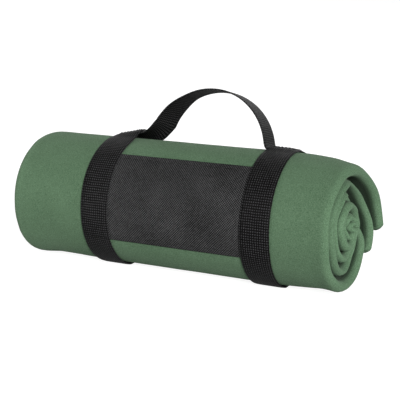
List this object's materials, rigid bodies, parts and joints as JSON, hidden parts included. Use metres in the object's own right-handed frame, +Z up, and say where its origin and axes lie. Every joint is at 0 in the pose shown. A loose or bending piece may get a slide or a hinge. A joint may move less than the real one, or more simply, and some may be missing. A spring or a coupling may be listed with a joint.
{
  "type": "camp blanket",
  "caption": "Fleece camp blanket, folded and rolled, held in a webbing strap carrier with a carrying handle, a fabric front panel and hook-and-loop closures.",
  "frame": {"origin": "on the ground, in the middle of the whole object's length and depth", "axes": "+X along the roll towards the end where the folded leaves show, +Y to the back, away from the front panel, +Z up through the handle"},
  "size_m": [0.375, 0.1392, 0.1836],
  "materials": {
    "fleece": "soft brushed anti-pill fleece, matte",
    "green_thread": "matte spun thread",
    "panel_cloth": "coarse oxford weave, low sheen",
    "webbing": "woven polypropylene webbing, slight sheen",
    "black_thread": "bonded thread, slight sheen",
    "loop_tape": "brushed loop pile, matte",
    "hook_tape": "moulded hooks on woven tape, low sheen"
  },
  "bodies": {
    "blanket": {"blanket_roll": "fleece", "blanket_edge_stitching": "green_thread"},
    "carrier": {"front_panel": "panel_cloth", "panel_hem_stitching": "black_thread", "left_strap": "webbing", "right_strap": "webbing", "left_panel_seam": "black_thread", "right_panel_seam": "black_thread", "left_loop_tape": "loop_tape", "right_loop_tape": "loop_tape", "left_loop_stitching": "black_thread", "right_loop_stitching": "black_thread", "handle_left_foot": "webbing", "handle_right_foot": "webbing", "handle_left_bend": "webbing", "handle_right_bend": "webbing", "handle_left_foot_stitching": "black_thread", "handle_right_foot_stitching": "black_thread"},
    "handle": {"handle_grip": "webbing"},
    "left_tab": {"left_closure_tab": "webbing", "left_hook_tape": "hook_tape", "left_hook_stitching": "black_thread"},
    "right_tab": {"right_closure_tab": "webbing", "right_hook_tape": "hook_tape", "right_hook_stitching": "black_thread"}
  },
  "joints": [
    {"name": "carrier_slide", "type": "slide", "parent": "blanket", "child": "carrier", "axis": [1, 0, 0], "range_m": [-0.05, 0.035]},
    {"name": "handle_swing", "type": "hinge", "parent": "carrier", "child": "handle", "pos_m": [0.015, 0.01448, 0.12999], "axis": [1, 0, 0], "range_deg": [-60, 60], "stiffness_Nm_per_rad": 0.02, "deforming": ["handle_left_bend", "handle_right_bend"]},
    {"name": "left_tab_peel", "type": "hinge", "parent": "carrier", "child": "left_tab", "pos_m": [-0.077, 0.06214, 0.09571], "axis": [1, 0, 0], "range_deg": [0, 120]},
    {"name": "right_tab_peel", "type": "hinge", "parent": "carrier", "child": "right_tab", "pos_m": [0.097, 0.06214, 0.09571], "axis": [1, 0, 0], "range_deg": [0, 120]}
  ]
}
